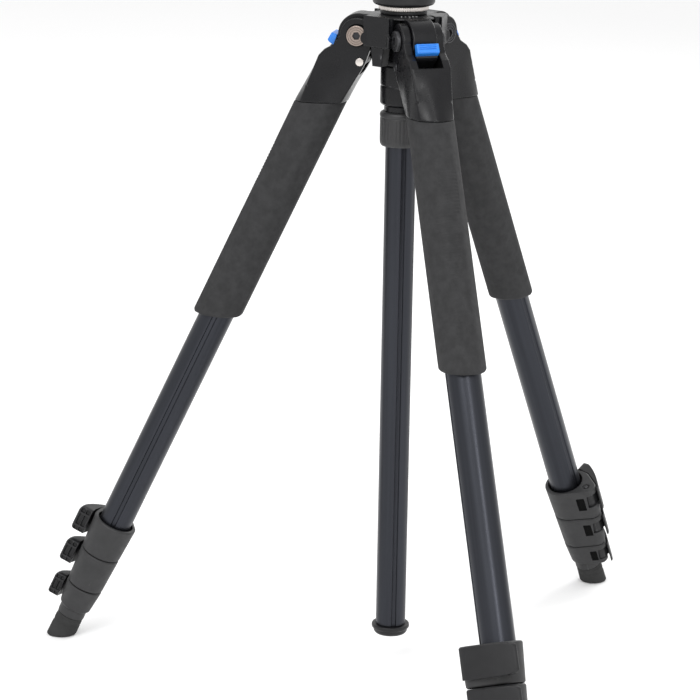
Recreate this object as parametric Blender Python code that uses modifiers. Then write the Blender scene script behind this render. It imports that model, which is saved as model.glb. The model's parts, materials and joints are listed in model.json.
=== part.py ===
"""Four-section camera tripod with lever locks, standing on the first stop of its legs.

Metres, +Z up, floor at Z = 0. The origin is the middle of the footprint, so the centre
column stands a little behind it. Every leg is modelled once in its own frame: X points
outwards from the leg, Y runs round the tripod anticlockwise and Z runs up the leg.
"""

import math

import bmesh
import bpy
from mathutils import Matrix, Vector

# Stance
LEG_AZIMUTHS = {"left": 150.0, "front": 270.0, "right": 30.0}
LEG_ANGLE = math.radians(25.1)
COLUMN_Y = 0.0624
HINGE_HEIGHT = 0.4827
HINGE_RADIUS = 0.0310
HINGE_TO_FOOT = 0.5352
TUBE_OFFSET = 0.0046

# Fits
GAP = 0.0003
WALL = 0.0012
SIDES = 16

# Leg sections, upper to lower: tube radii and the heights of the locks above the foot's tip
TUBE_RADII = (0.0125, 0.0110, 0.0095, 0.0080)
LOCK_TOPS = (0.1063, 0.0772, 0.0468)
LOCK_LOWEST = 0.0194
LOCK_RADII = (0.0170, 0.0156, 0.0143, 0.0124)
LOCK_SCALES = (1.0, 0.94, 0.82, 0.74)
LEVER_HEIGHTS = (0.0220, 0.0203, 0.0195)
LEVER_DROP = 0.0010
TUBE_TOPS = (0.4944, 0.4784, 0.4714, 0.4644)
GROOVE_WIDTH = 0.0024
GROOVE_DEPTH = 0.0006

# Lever lock in plan, at the size of the upper lock: outwards, round the tripod
LEVER_PIN = Vector((0.0005, -0.0205))
LEVER_PIN_RADIUS = 0.0016
CAM_RADIUS = 0.0055
CAM_ARM = Vector((0.0072, -0.0020))
CAM_SWING = (Vector((0.0, 0.0)), Vector((0.020, -0.004)), Vector((-0.002, -0.018)))
NOSE_RADIUS = 0.0080
NOSE_SHOULDER = (0.0085, -0.0085, 0.0080)
LEVER_BACK_RADIUS = 0.0101
LEVER_BULGE = Vector((0.0224, -0.0150))
LEVER_FACE = 0.0295
LEVER_END_Y = 0.0025
LEVER_TAB = 0.0106

# Foot
FOOT_TOP_RADIUS = 0.0094
FOOT_SOLE_RADIUS = 0.0106
FOOT_EDGE = 0.0018

# Grip
GRIP_BOTTOM = 0.2944
GRIP_TOP_OUTER = 0.4689
GRIP_TOP_INNER = 0.4859
GRIP_DEPTH = 0.0178
GRIP_WIDTH = 0.0166

# Yoke
EAR_RADIUS = 0.0124
EAR_OUTER = 0.0150
SLOT_HALF = 0.0092
SLOT_FLOOR = 0.5062
BOLT_RADIUS = 0.0040
BOLT_HEAD = 0.0074
BOLT_HEAD_THICKNESS = 0.0026
LATCH_PIVOT = Vector((-0.0148, 0.5189))
LATCH_PIN_RADIUS = 0.0015
LATCH_PIN_HEAD = 0.0029
LATCH_HALF = 0.0082
LATCH_BOSS = 0.0036

# Shoulder
SHOULDER_TOP = 0.4982
SHOULDER_BOTTOM = 0.4615
BLOCK_BOTTOM = 0.4762
SKIRT_BOTTOM = 0.4599
DRUM_RADIUS = 0.0152
DRUM_HALF = 0.0088
CORE_RADIUS = 0.0162
BLOCK_REACH = 0.0300
BLOCK_HALF = 0.0123
EAR_CLEAR = 0.0167
HEAD_CLEAR = 0.0226

# Centre column
COLUMN_RADIUS = 0.01125
COLUMN_BOTTOM = 0.0333
COLUMN_TOP = 0.5008
COLUMN_GROOVE_AZIMUTH = 263.0
SLEEVE_RADIUS = 0.0158
SPIGOT_RADIUS = 0.0128
SLEEVE_BOTTOM = 0.4312
SPIGOT_BOTTOM = 0.4152
COLLAR_TOP = 0.4274
COLLAR_BOTTOM = 0.4022
CAP_FLANGE = 0.0143
CAP_BOTTOM = 0.0258
PLATFORM_RADIUS = 0.0225
PLATFORM_BOTTOM = 0.5047
PLATFORM_TOP = 0.5138
RING_RADIUS = 0.0181
STUD_RADIUS = 0.00476
STUD_TOP = 0.5262

COLOURS = {
    "casting": ((0.030, 0.030, 0.034), 0.38, 0.0),
    "anodised": ((0.050, 0.055, 0.070), 0.35, 0.8),
    "housing": ((0.060, 0.060, 0.063), 0.55, 0.0),
    "lever": ((0.040, 0.040, 0.043), 0.50, 0.0),
    "rubber": ((0.055, 0.055, 0.055), 0.80, 0.0),
    "blue": ((0.040, 0.160, 0.700), 0.40, 0.0),
    "steel": ((0.550, 0.520, 0.500), 0.30, 1.0),
}


# ---------------------------------------------------------------- modelling helpers

def clear_scene():
    for obj in list(bpy.data.objects):
        bpy.data.objects.remove(obj)


def collection(name):
    made = bpy.data.collections.new(name)
    bpy.context.scene.collection.children.link(made)
    return made


def material(name):
    colour, roughness, metallic = COLOURS[name]
    made = bpy.data.materials.new(name)
    made.use_nodes = True
    shader = made.node_tree.nodes["Principled BSDF"]
    shader.inputs["Base Color"].default_value = (*colour, 1.0)
    shader.inputs["Roughness"].default_value = roughness
    shader.inputs["Metallic"].default_value = metallic
    return made


def work_object(data):
    obj = bpy.data.objects.new("work", data)
    bpy.context.scene.collection.objects.link(obj)
    return obj


def baked(obj):
    """The evaluated mesh of a working object, which is then removed."""
    bpy.context.view_layer.update()
    graph = bpy.context.evaluated_depsgraph_get()
    mesh = bpy.data.meshes.new_from_object(obj.evaluated_get(graph))
    bpy.data.objects.remove(obj)
    return mesh


def from_bmesh(shape):
    mesh = bpy.data.meshes.new("shape")
    shape.to_mesh(mesh)
    shape.free()
    return mesh


def welded(mesh):
    shape = bmesh.new()
    shape.from_mesh(mesh)
    bmesh.ops.remove_doubles(shape, verts=shape.verts, dist=1e-6)
    bmesh.ops.recalc_face_normals(shape, faces=shape.faces)
    return from_bmesh(shape)


def box(low, high):
    size = Vector(high) - Vector(low)
    middle = (Vector(high) + Vector(low)) / 2
    shape = bmesh.new()
    bmesh.ops.create_cube(shape, size=1.0, matrix=Matrix.Translation(middle) @ Matrix.Diagonal((*size, 1)))
    return from_bmesh(shape)


def rod(radius, low, high, centre=(0.0, 0.0), sides=SIDES, top_radius=None):
    """A round bar or cone along Z."""
    top = radius if top_radius is None else top_radius
    shape = bmesh.new()
    place = Matrix.Translation((centre[0], centre[1], (low + high) / 2))
    bmesh.ops.create_cone(shape, cap_ends=True, segments=sides, radius1=radius, radius2=top,
                          depth=high - low, matrix=place)
    return from_bmesh(shape)


def turned(profile, steps=SIDES):
    """A profile of (radius, height) points turned about Z, down its outer side and back.

    A profile that starts and ends on the axis makes a solid; any other is closed into a ring.
    """
    shape = bmesh.new()
    points = [shape.verts.new((radius, 0.0, height)) for radius, height in profile]
    for first, second in zip(points, points[1:]):
        shape.edges.new((first, second))
    if profile[0][0] > 0.0:
        shape.edges.new((points[-1], points[0]))
    obj = work_object(from_bmesh(shape))
    screw = obj.modifiers.new("Turn", "SCREW")
    screw.steps = steps
    screw.render_steps = steps
    screw.use_merge_vertices = True
    screw.merge_threshold = 1e-6
    return welded(baked(obj))


def prism(outlines, low, high):
    """Flat outlines in XY, the later ones holes, made solid between two heights."""
    curve = bpy.data.curves.new("outline", "CURVE")
    curve.dimensions = "2D"
    curve.fill_mode = "BOTH"
    curve.extrude = (high - low) / 2
    for outline in outlines:
        spline = curve.splines.new("POLY")
        spline.points.add(len(outline) - 1)
        for point, place in zip(spline.points, outline):
            point.co = (place[0], place[1], 0.0, 1.0)
        spline.use_cyclic_u = True
    mesh = welded(baked(work_object(curve)))
    mesh.transform(Matrix.Translation((0, 0, (high + low) / 2)))
    return mesh


def side_prism(outline, half_width):
    """An outline in XZ made solid along Y."""
    mesh = prism([outline], -half_width, half_width)
    mesh.transform(Matrix.Rotation(math.pi / 2, 4, "X"))
    return mesh


def across(mesh, centre):
    """Turn a shape made along Z so that it runs along Y, through a point (x, z)."""
    mesh.transform(Matrix.Translation((centre[0], 0, centre[1])) @ Matrix.Rotation(math.pi / 2, 4, "X"))
    return mesh


def hull(meshes):
    shape = bmesh.new()
    for mesh in meshes:
        shape.from_mesh(mesh)
    bmesh.ops.delete(shape, geom=shape.edges[:], context="EDGES_FACES")
    made = bmesh.ops.convex_hull(shape, input=shape.verts)
    spare = {item for item in made["geom_interior"] + made["geom_unused"]
             if isinstance(item, bmesh.types.BMVert)}
    bmesh.ops.delete(shape, geom=list(spare), context="VERTS")
    return welded(from_bmesh(shape))


def boolean(mesh, others, operation):
    obj = work_object(mesh)
    tools = [work_object(other) for other in others]
    for tool in tools:
        step = obj.modifiers.new(operation.title(), "BOOLEAN")
        step.operation = operation
        step.solver = "EXACT"
        step.object = tool
    result = baked(obj)
    for tool in tools:
        bpy.data.objects.remove(tool)
    return welded(result)


def cut(mesh, *cutters):
    return boolean(mesh, cutters, "DIFFERENCE")


def join(mesh, *others):
    return boolean(mesh, others, "UNION")


def arc(centre, radius, start, end, pieces):
    """Points along an arc, in degrees, ends included."""
    angles = [math.radians(start + (end - start) * i / pieces) for i in range(pieces + 1)]
    return [(centre[0] + radius * math.cos(a), centre[1] + radius * math.sin(a)) for a in angles]


def grooved_circle(radius, groove_angles):
    """A circle of SIDES points with square lengthwise grooves."""
    half = math.degrees(GROOVE_WIDTH / radius) / 2
    points = []
    for i in range(SIDES):
        angle = 360.0 * i / SIDES
        if all(abs((angle - g + 180) % 360 - 180) > half + 2.0 for g in groove_angles):
            points.append((angle, radius))
    for groove in groove_angles:
        points += [((groove - half) % 360, radius), ((groove - half + 0.6) % 360, radius - GROOVE_DEPTH)]
        points += [((groove + half - 0.6) % 360, radius - GROOVE_DEPTH), ((groove + half) % 360, radius)]
    places = sorted(points)
    return [(r * math.cos(math.radians(a)), r * math.sin(math.radians(a))) for a, r in places]


def tube(radius, inner, low, high, groove_angles=()):
    outer = grooved_circle(radius, groove_angles)
    return prism([outer, arc((0, 0), inner, 0, 360 * (SIDES - 1) / SIDES, SIDES - 1)], low, high)


# ---------------------------------------------------------------- shapes of a leg

def hinge_centre():
    """The hinge's axis in the leg's frame, in X and Z from the tip of the foot."""
    return Vector((-TUBE_OFFSET, HINGE_TO_FOOT))


def slanted_cutter(upper):
    """A block above or below the grip's slanted top, past it by half the gap."""
    slope = math.atan2(GRIP_TOP_INNER - GRIP_TOP_OUTER, 2 * GRIP_DEPTH)
    middle = (GRIP_TOP_INNER + GRIP_TOP_OUTER) / 2
    reach = 0.05
    low, high = (-GAP / 2, reach) if upper else (-reach, GAP / 2)
    cutter = box((-reach, -reach, low), (reach, reach, high))
    cutter.transform(Matrix.Translation((0, 0, middle)) @ Matrix.Rotation(slope, 4, "Y"))
    return cutter


def leg_section_outline(depth, width):
    """The rounded octagon that the grip and the yoke's socket share."""
    points = []
    for i in range(SIDES):
        angle = 2 * math.pi * i / SIDES
        flat = 1.0 / max(abs(math.cos(4 * (angle / 4 - round(angle * 2 / math.pi) * math.pi / 8))), 0.98)
        points.append((depth * flat * math.cos(angle), width * flat * math.sin(angle)))
    return points


def make_grip():
    outline = leg_section_outline(GRIP_DEPTH, GRIP_WIDTH)
    sleeve = prism([outline], GRIP_BOTTOM, GRIP_TOP_INNER + 0.002)
    bore = rod(TUBE_RADII[0] + GAP, GRIP_BOTTOM - 0.01, GRIP_TOP_INNER + 0.01)
    return cut(sleeve, bore, slanted_cutter(upper=True))


def yoke_side_outline():
    """The yoke seen from the side, from its foot up round the ear and down the outer edge."""
    centre = hinge_centre()
    points = [(-0.0172, 0.4654), (-0.0174, 0.5034), (-0.0184, 0.5134), (-0.0186, 0.5199)]
    points += arc(centre, EAR_RADIUS, 178.0, -28.0, 9)
    points += [(0.0077, 0.5219), (0.0125, 0.5152), (0.0150, 0.5074), (0.0166, 0.4974), (0.0172, 0.4654)]
    return points[::-1]


def make_yoke():
    """Two ears that run down into a round socket, their outer corners taken off by a cone."""
    ears = side_prism(yoke_side_outline(), EAR_OUTER)
    cone = rod(0.0168, 0.4600, 0.5600, sides=32, top_radius=0.0300)
    socket = prism([leg_section_outline(GRIP_DEPTH, GRIP_WIDTH)], 0.4604, 0.5010)
    centre = hinge_centre()
    slot = box((-0.03, -SLOT_HALF, SLOT_FLOOR), (0.03, SLOT_HALF, 0.58))
    bore = rod(TUBE_RADII[0] + GAP, 0.44, TUBE_TOPS[0] + GAP)
    bolt = across(rod(BOLT_RADIUS + GAP, -0.03, 0.03, sides=12), centre)
    pin = across(rod(LATCH_PIN_RADIUS + GAP, -0.03, 0.03, sides=8), LATCH_PIVOT)
    body = join(boolean(ears, [cone], "INTERSECT"), socket)
    return cut(body, slot, bore, bolt, pin, slanted_cutter(upper=False))


def make_through_pin(radius, head_radius, head_thickness, centre, sides):
    """A pin across both ears, headed on their outer faces."""
    face = EAR_OUTER + GAP
    end = face + head_thickness
    edge = head_thickness * 0.35
    half = [(0.0, end), (head_radius - edge, end), (head_radius, end - edge), (head_radius, face)]
    profile = half + [(radius, face)] + [(radius, -face)]
    profile += [(r, -h) for r, h in reversed(half)]
    return across(turned(profile, sides), centre)


def make_hinge_bolt():
    bolt = make_through_pin(BOLT_RADIUS, BOLT_HEAD, BOLT_HEAD_THICKNESS, hinge_centre(), 12)
    depth = EAR_OUTER + GAP + BOLT_HEAD_THICKNESS
    sockets = []
    for side in (-1, 1):
        low, high = sorted((side * (depth - 0.0014), side * (depth + 0.001)))
        sockets.append(across(rod(0.0030, low, high, sides=6), hinge_centre()))
    return cut(bolt, *sockets)


def make_latch():
    """The pawl: a boss on its pin, an arm that passes below the drum and a wide thumb tip."""
    outline = arc(LATCH_PIVOT, LATCH_BOSS, 250.0, 60.0, 6)
    outline += [(-0.0046, 0.5188), (0.0023, 0.5200), (0.0069, 0.5230), (0.0085, 0.5257)]
    outline += [(0.0138, 0.5250), (0.0141, 0.5194), (0.0073, 0.5168), (-0.0046, 0.5140)]
    pawl = side_prism(outline[::-1], LATCH_HALF)
    return cut(pawl, across(rod(LATCH_PIN_RADIUS + GAP, -0.02, 0.02, sides=8), LATCH_PIVOT))


def lock_span(index):
    """Bottom and top of a lock's housing, with the seam between two locks shared out."""
    floor = LOCK_TOPS[index + 1] if index < 2 else LOCK_LOWEST
    return floor + GAP, LOCK_TOPS[index]


def lever_span(index):
    high = LOCK_TOPS[index] - LEVER_DROP
    return high - LEVER_HEIGHTS[index], high


def cam_span(index):
    top = LOCK_TOPS[index]
    return top - LEVER_HEIGHTS[index] * 0.76, top - LEVER_HEIGHTS[index] * 0.24


def lock_slice(index, low, high):
    """Thin rods whose hull is the housing in plan: barrel, the nose round the pin, its shoulder."""
    scale = LOCK_SCALES[index]
    x, y, radius = NOSE_SHOULDER
    return [
        rod(LOCK_RADII[index], low, high),
        rod(NOSE_RADIUS * scale, low, high, LEVER_PIN * scale, 12),
        rod(radius * scale, low, high, (x * scale, y * scale), 12),
    ]


def make_lock(index):
    """A housing clamped to its tube's end, with a window in its nose for the lever's cam."""
    scale = LOCK_SCALES[index]
    low, high = lock_span(index)
    body = hull(lock_slice(index + 1, low, low + 0.001) + lock_slice(index, high - 0.001, high))
    pin = LEVER_PIN * scale
    cam_low, cam_high = cam_span(index)
    reach = (CAM_RADIUS + 2 * GAP) * scale
    window = hull([rod(reach, cam_low - GAP, cam_high + GAP, pin + offset, 8) for offset in CAM_SWING])
    top_bore = rod(TUBE_RADII[index] + GAP, (low + high) / 2, high + 0.01)
    low_bore = rod(TUBE_RADII[index + 1] + GAP, low - 0.01, high)
    pin_hole = rod(LEVER_PIN_RADIUS + GAP, low - 0.01, high + 0.01, pin, 8)
    return cut(body, window, top_bore, low_bore, pin_hole)


def bend(start, control, end, pieces):
    """Points along a parabola, ends included."""
    places = [i / pieces for i in range(pieces + 1)]
    return [tuple(start * (1 - t) ** 2 + control * 2 * t * (1 - t) + end * t * t) for t in places]


def lever_outline(scale):
    """The lever in plan, closed: round its back and tab, then along the nose from the tab."""
    edge = 0.0015
    clear = 2 * GAP
    points = arc(LEVER_PIN, LEVER_BACK_RADIUS, -75.0, -40.0, 3)
    points += bend(Vector(points[-1]), LEVER_BULGE, Vector((LEVER_FACE, LEVER_END_Y - 2 * edge)), 6)[1:]
    points += arc((LEVER_FACE - edge, LEVER_END_Y - edge), edge, 0.0, 90.0, 2)
    points += [(LEVER_FACE - LEVER_TAB, LEVER_END_Y), (LEVER_FACE - LEVER_TAB - 0.0002, LEVER_END_Y - 0.0055)]
    points += arc(NOSE_SHOULDER[:2], NOSE_SHOULDER[2] + clear, -5.0, -34.0, 3)
    points += arc(LEVER_PIN, NOSE_RADIUS + clear, -34.0, -75.0, 3)
    return [(x * scale, y * scale) for x, y in points]


def make_lever(index):
    """A wrap-round lever with its cam and pin, in the frame of the pin."""
    scale = LOCK_SCALES[index]
    pin = LEVER_PIN * scale
    low, high = lever_span(index)
    shell = prism([lever_outline(scale)], low, high)
    cam_low, cam_high = cam_span(index)
    cam = hull([
        rod(CAM_RADIUS * scale, cam_low, cam_high, pin, 8),
        rod(CAM_RADIUS * scale * 0.6, cam_low, cam_high, pin + CAM_ARM * scale, 6),
    ])
    axle = rod(LEVER_PIN_RADIUS, low, LOCK_TOPS[index] - 0.0002, pin, 8)
    lever = join(shell, cam, axle)
    lever.transform(Matrix.Translation((-pin.x, -pin.y, 0)))
    return lever


def make_leg_tube(index):
    """A section's tube, from the middle of the lock it carries up into the section above."""
    if index < 3:
        low, high = lock_span(index)
        bottom = (low + high) / 2 + GAP
    else:
        bottom = LOCK_LOWEST + GAP
    grooves = (95.0, 265.0)
    radius = TUBE_RADII[index]
    return tube(radius, radius - WALL, bottom, TUBE_TOPS[index], grooves)


def sole_ring(radius, lift):
    """Points round the foot on a plane that is level when the legs stand at their angle."""
    shape = bmesh.new()
    for x, y in arc((0, 0), radius, 0, 360 * (SIDES - 1) / SIDES, SIDES - 1):
        shape.verts.new((x, y, lift - x * math.tan(LEG_ANGLE)))
    return from_bmesh(shape)


def make_foot():
    """A rubber foot with a level sole and a plug that goes up into the last tube."""
    plug = rod(TUBE_RADII[3] - WALL - GAP, LOCK_LOWEST - 0.002, LOCK_LOWEST + 0.022)
    top = rod(FOOT_TOP_RADIUS, LOCK_LOWEST - 0.001, LOCK_LOWEST)
    sole = sole_ring(FOOT_SOLE_RADIUS - FOOT_EDGE, 0.0)
    return join(hull([top, sole_ring(FOOT_SOLE_RADIUS, FOOT_EDGE), sole]), plug)


# ---------------------------------------------------------------- shapes of the middle

def beside_leg(outwards, round_axis):
    """A point given from the next leg clockwise, in the frame of the block between legs."""
    turn = math.radians(60.0)
    return (outwards * math.cos(turn) + round_axis * math.sin(turn),
            round_axis * math.cos(turn) - outwards * math.sin(turn))


def make_sector_block():
    """The block between two legs with its skirt, made on the X axis.

    Its sides leave room for the ears and, further out, for the bolt's head.
    """
    head_room = EAR_OUTER + BOLT_HEAD_THICKNESS + 0.0008
    side = [
        (CORE_RADIUS * 0.68, -CORE_RADIUS * 0.62),
        beside_leg(EAR_CLEAR, 0.0060),
        beside_leg(EAR_CLEAR, EAR_OUTER + 0.0006),
        beside_leg(HEAD_CLEAR, EAR_OUTER + 0.0006),
        beside_leg(HEAD_CLEAR, head_room),
        beside_leg(HEAD_CLEAR + 0.0007, head_room + 0.0012),
        (BLOCK_REACH, -BLOCK_HALF),
    ]
    block = prism([side + [(x, -y) for x, y in reversed(side)]], BLOCK_BOTTOM, SHOULDER_TOP)
    top = BLOCK_BOTTOM + 0.0010
    skirt = prism([[(-0.0060, top), (-0.0043, SKIRT_BOTTOM), (0.0043, SKIRT_BOTTOM), (0.0060, top)]],
                  CORE_RADIUS + 0.0008, BLOCK_REACH - 0.0012)
    skirt.transform(Matrix(((0, 0, 1, 0), (1, 0, 0, 0), (0, 1, 0, 0), (0, 0, 0, 1))))
    return join(block, skirt)


def make_lug():
    """The drum that a yoke swings on, with its web to the core, made on the X axis."""
    drum = across(rod(DRUM_RADIUS, -DRUM_HALF, DRUM_HALF, sides=24), (HINGE_RADIUS, HINGE_HEIGHT))
    half = DRUM_HALF - 0.0002
    web = box((0.0120, -half, 0.4727), (HINGE_RADIUS, half, HINGE_HEIGHT + DRUM_RADIUS * 0.98))
    return join(drum, web)


def make_shoulder():
    core = rod(CORE_RADIUS, SHOULDER_BOTTOM, SHOULDER_TOP - 0.0002, sides=24)
    pieces = []
    cutters = [rod(COLUMN_RADIUS + GAP, 0.4, 0.6)]
    for azimuth in LEG_AZIMUTHS.values():
        lug = make_lug()
        lug.transform(Matrix.Rotation(math.radians(azimuth), 4, "Z"))
        block = make_sector_block()
        block.transform(Matrix.Rotation(math.radians(azimuth + 60.0), 4, "Z"))
        bore = across(rod(BOLT_RADIUS + GAP, -0.02, 0.02, sides=12), (HINGE_RADIUS, HINGE_HEIGHT))
        bore.transform(Matrix.Rotation(math.radians(azimuth), 4, "Z"))
        pieces += [lug, block]
        cutters.append(bore)
    return cut(join(core, *pieces), *cutters)


def make_sleeve():
    inner = COLUMN_RADIUS + GAP
    top = SHOULDER_BOTTOM - GAP
    return turned([
        (SLEEVE_RADIUS - 0.001, top), (SLEEVE_RADIUS, top - 0.001), (SLEEVE_RADIUS, SLEEVE_BOTTOM + 0.0020),
        (SPIGOT_RADIUS, SLEEVE_BOTTOM), (SPIGOT_RADIUS, SPIGOT_BOTTOM), (inner, SPIGOT_BOTTOM), (inner, top),
    ])


def make_collar():
    bore = SPIGOT_RADIUS + GAP
    lip = COLUMN_RADIUS + 2 * GAP
    return turned([
        (SLEEVE_RADIUS - 0.0022, COLLAR_TOP), (SLEEVE_RADIUS, COLLAR_TOP - 0.0022),
        (SLEEVE_RADIUS, COLLAR_BOTTOM + 0.0030), (SLEEVE_RADIUS - 0.0012, COLLAR_BOTTOM),
        (lip, COLLAR_BOTTOM), (lip, COLLAR_BOTTOM + 0.0015), (bore, COLLAR_BOTTOM + 0.0015), (bore, COLLAR_TOP),
    ])


def make_collet():
    """The split plastic ring that the collar squeezes on to the column."""
    inner = COLUMN_RADIUS + 0.00025
    outer = SPIGOT_RADIUS
    low = COLLAR_BOTTOM + 0.0018
    high = SPIGOT_BOTTOM - GAP
    ring = turned([(outer, high), (outer - 0.0005, low), (inner, low), (inner, high)])
    return cut(ring, box((0.0, -0.0006, low - 0.001), (0.02, 0.0006, high + 0.001)))


def make_cap():
    plug = COLUMN_RADIUS - WALL - GAP
    top = COLUMN_BOTTOM - GAP
    return turned([
        (0.0, top + 0.010), (plug, top + 0.010), (plug, top), (CAP_FLANGE - 0.0008, top),
        (CAP_FLANGE, top - 0.0008), (CAP_FLANGE, CAP_BOTTOM + 0.0012), (CAP_FLANGE - 0.0012, CAP_BOTTOM),
        (0.0, CAP_BOTTOM),
    ])


def make_washer():
    low, high = SHOULDER_TOP + GAP, 0.5009
    outer, inner = RING_RADIUS + 0.0007, COLUMN_RADIUS + GAP
    return turned([(outer, high), (outer, low), (inner, low), (inner, high)], 24)


def make_lock_ring():
    """The bright ring on the column's head, with a plug down into the column."""
    plug = COLUMN_RADIUS - WALL - GAP
    low, high = 0.5012, PLATFORM_BOTTOM - GAP
    bore = STUD_RADIUS + GAP
    return turned([
        (RING_RADIUS - 0.0008, high), (RING_RADIUS, high - 0.0008), (RING_RADIUS, low),
        (plug, low), (plug, low - 0.010), (bore, low - 0.010), (bore, high),
    ], 24)


def make_platform():
    bore = STUD_RADIUS + GAP
    edge = 0.0028
    rounding = arc((PLATFORM_RADIUS - edge, PLATFORM_BOTTOM + edge), edge, 0.0, -90.0, 3)
    profile = [(PLATFORM_RADIUS - 0.0008, PLATFORM_TOP), (PLATFORM_RADIUS, PLATFORM_TOP - 0.0008)]
    return turned(profile + rounding + [(bore, PLATFORM_BOTTOM), (bore, PLATFORM_TOP)], 24)


def make_pad():
    low, high = PLATFORM_TOP + GAP, PLATFORM_TOP + GAP + 0.0012
    return turned([(PLATFORM_RADIUS - 0.0015, high), (PLATFORM_RADIUS - 0.0015, low), (0.0070, low),
                   (0.0070, high)], 24)


def make_stud():
    bottom = 0.4952
    taper = 0.0012
    return turned([(0.0, STUD_TOP), (STUD_RADIUS - taper, STUD_TOP), (STUD_RADIUS, STUD_TOP - taper),
                   (STUD_RADIUS, bottom + taper), (STUD_RADIUS - taper, bottom), (0.0, bottom)], 16)


# ---------------------------------------------------------------- assembly

class Tripod:
    """Places the shapes as named objects under empties that stand on the joints' axes."""

    def __init__(self):
        self.parts = collection("camera_tripod")
        self.materials = {}

    def empty(self, name, parent=None, location=(0, 0, 0), rotation=(0, 0, 0)):
        obj = bpy.data.objects.new(name, None)
        obj.empty_display_size = 0.02
        obj.parent = parent
        obj.location = location
        obj.rotation_euler = rotation
        self.parts.objects.link(obj)
        return obj

    def piece(self, name, mesh, slot, parent, location=(0, 0, 0)):
        obj = bpy.data.objects.new(name, mesh)
        if slot not in self.materials:
            self.materials[slot] = material(slot)
        if not mesh.materials:
            mesh.materials.append(self.materials[slot])
            mesh.shade_smooth()
            mesh.set_sharp_from_angle(angle=math.radians(30))
        obj.parent = parent
        obj.location = location
        self.parts.objects.link(obj)
        return obj


def leg_shapes():
    shapes = {
        "yoke": (make_yoke(), "casting"),
        "hinge_bolt": (make_hinge_bolt(), "steel"),
        "latch_pin": (make_through_pin(LATCH_PIN_RADIUS, LATCH_PIN_HEAD, 0.0008, LATCH_PIVOT, 8), "steel"),
        "angle_latch": (make_latch(), "blue"),
        "grip": (make_grip(), "rubber"),
        "foot": (make_foot(), "rubber"),
    }
    for index in range(4):
        shapes[f"tube_{index + 1}"] = (make_leg_tube(index), "anodised")
    for index in range(3):
        shapes[f"lock_{index + 1}"] = (make_lock(index), "housing")
        shapes[f"lever_{index + 1}"] = (make_lever(index), "lever")
    return shapes


def shifted(mesh, x, z):
    mesh.transform(Matrix.Translation((x, 0, z)))
    return mesh


def add_leg(tripod, base, side, shapes):
    """One leg under its hinge; each section's empty stands on the tube's axis."""
    azimuth = math.radians(LEG_AZIMUTHS[side])
    hinge = tripod.empty(
        f"hinge_{side}", base,
        (HINGE_RADIUS * math.cos(azimuth), HINGE_RADIUS * math.sin(azimuth), HINGE_HEIGHT),
        (0.0, -LEG_ANGLE, azimuth),
    )
    foot_tip = (TUBE_OFFSET, 0.0, -HINGE_TO_FOOT)
    sections = [tripod.empty(f"section_1_{side}", hinge, foot_tip)]
    for number in (2, 3, 4):
        sections.append(tripod.empty(f"section_{number}_{side}", sections[-1]))

    def add(name, section, location=(0, 0, 0)):
        mesh, slot = shapes[name]
        tripod.piece(f"{side}_{name}", mesh, slot, section, location)

    for name in ("yoke", "hinge_bolt", "latch_pin", "grip"):
        add(name, sections[0])
    add("angle_latch", sections[0], (LATCH_PIVOT.x, 0, LATCH_PIVOT.y))
    for index in range(4):
        add(f"tube_{index + 1}", sections[index])
    for index in range(3):
        pin = LEVER_PIN * LOCK_SCALES[index]
        add(f"lock_{index + 1}", sections[index])
        add(f"lever_{index + 1}", sections[index], (pin.x, pin.y, 0))
    add("foot", sections[3])


def add_middle(tripod, base):
    tripod.piece("shoulder", make_shoulder(), "casting", base)
    tripod.piece("column_sleeve", make_sleeve(), "housing", base)
    tripod.piece("column_washer", make_washer(), "housing", base)
    tripod.piece("column_collet", make_collet(), "lever", base)
    tripod.piece("twist_collar", make_collar(), "casting", base)
    column = tripod.empty("column_slide", base)
    keyway = (COLUMN_GROOVE_AZIMUTH,)
    stem = tube(COLUMN_RADIUS, COLUMN_RADIUS - WALL, COLUMN_BOTTOM, COLUMN_TOP, keyway)
    tripod.piece("column", stem, "anodised", column)
    tripod.piece("column_cap", make_cap(), "lever", column)
    tripod.piece("lock_ring", make_lock_ring(), "steel", column)
    tripod.piece("platform", make_platform(), "casting", column)
    tripod.piece("platform_pad", make_pad(), "rubber", column)
    tripod.piece("camera_stud", make_stud(), "steel", column)


def build():
    clear_scene()
    tripod = Tripod()
    base = tripod.empty("tripod", location=(0, COLUMN_Y, 0))
    add_middle(tripod, base)
    shapes = leg_shapes()
    shifted(shapes["angle_latch"][0], -LATCH_PIVOT.x, -LATCH_PIVOT.y)
    for side in LEG_AZIMUTHS:
        add_leg(tripod, base, side, shapes)


build()
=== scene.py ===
"""The looks of a four-section camera tripod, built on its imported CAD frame.

Shapes are made in millimetres and scaled at the end. A leg's shapes are made once, in the leg's
own frame: X points outwards from the leg, Y runs round the tripod anticlockwise and Z runs up
the leg from its foot. The column's shapes are made round the Z axis, from the floor up.
"""

import json
import math

import bmesh
import bpy
from mathutils import Matrix, Vector

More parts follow.
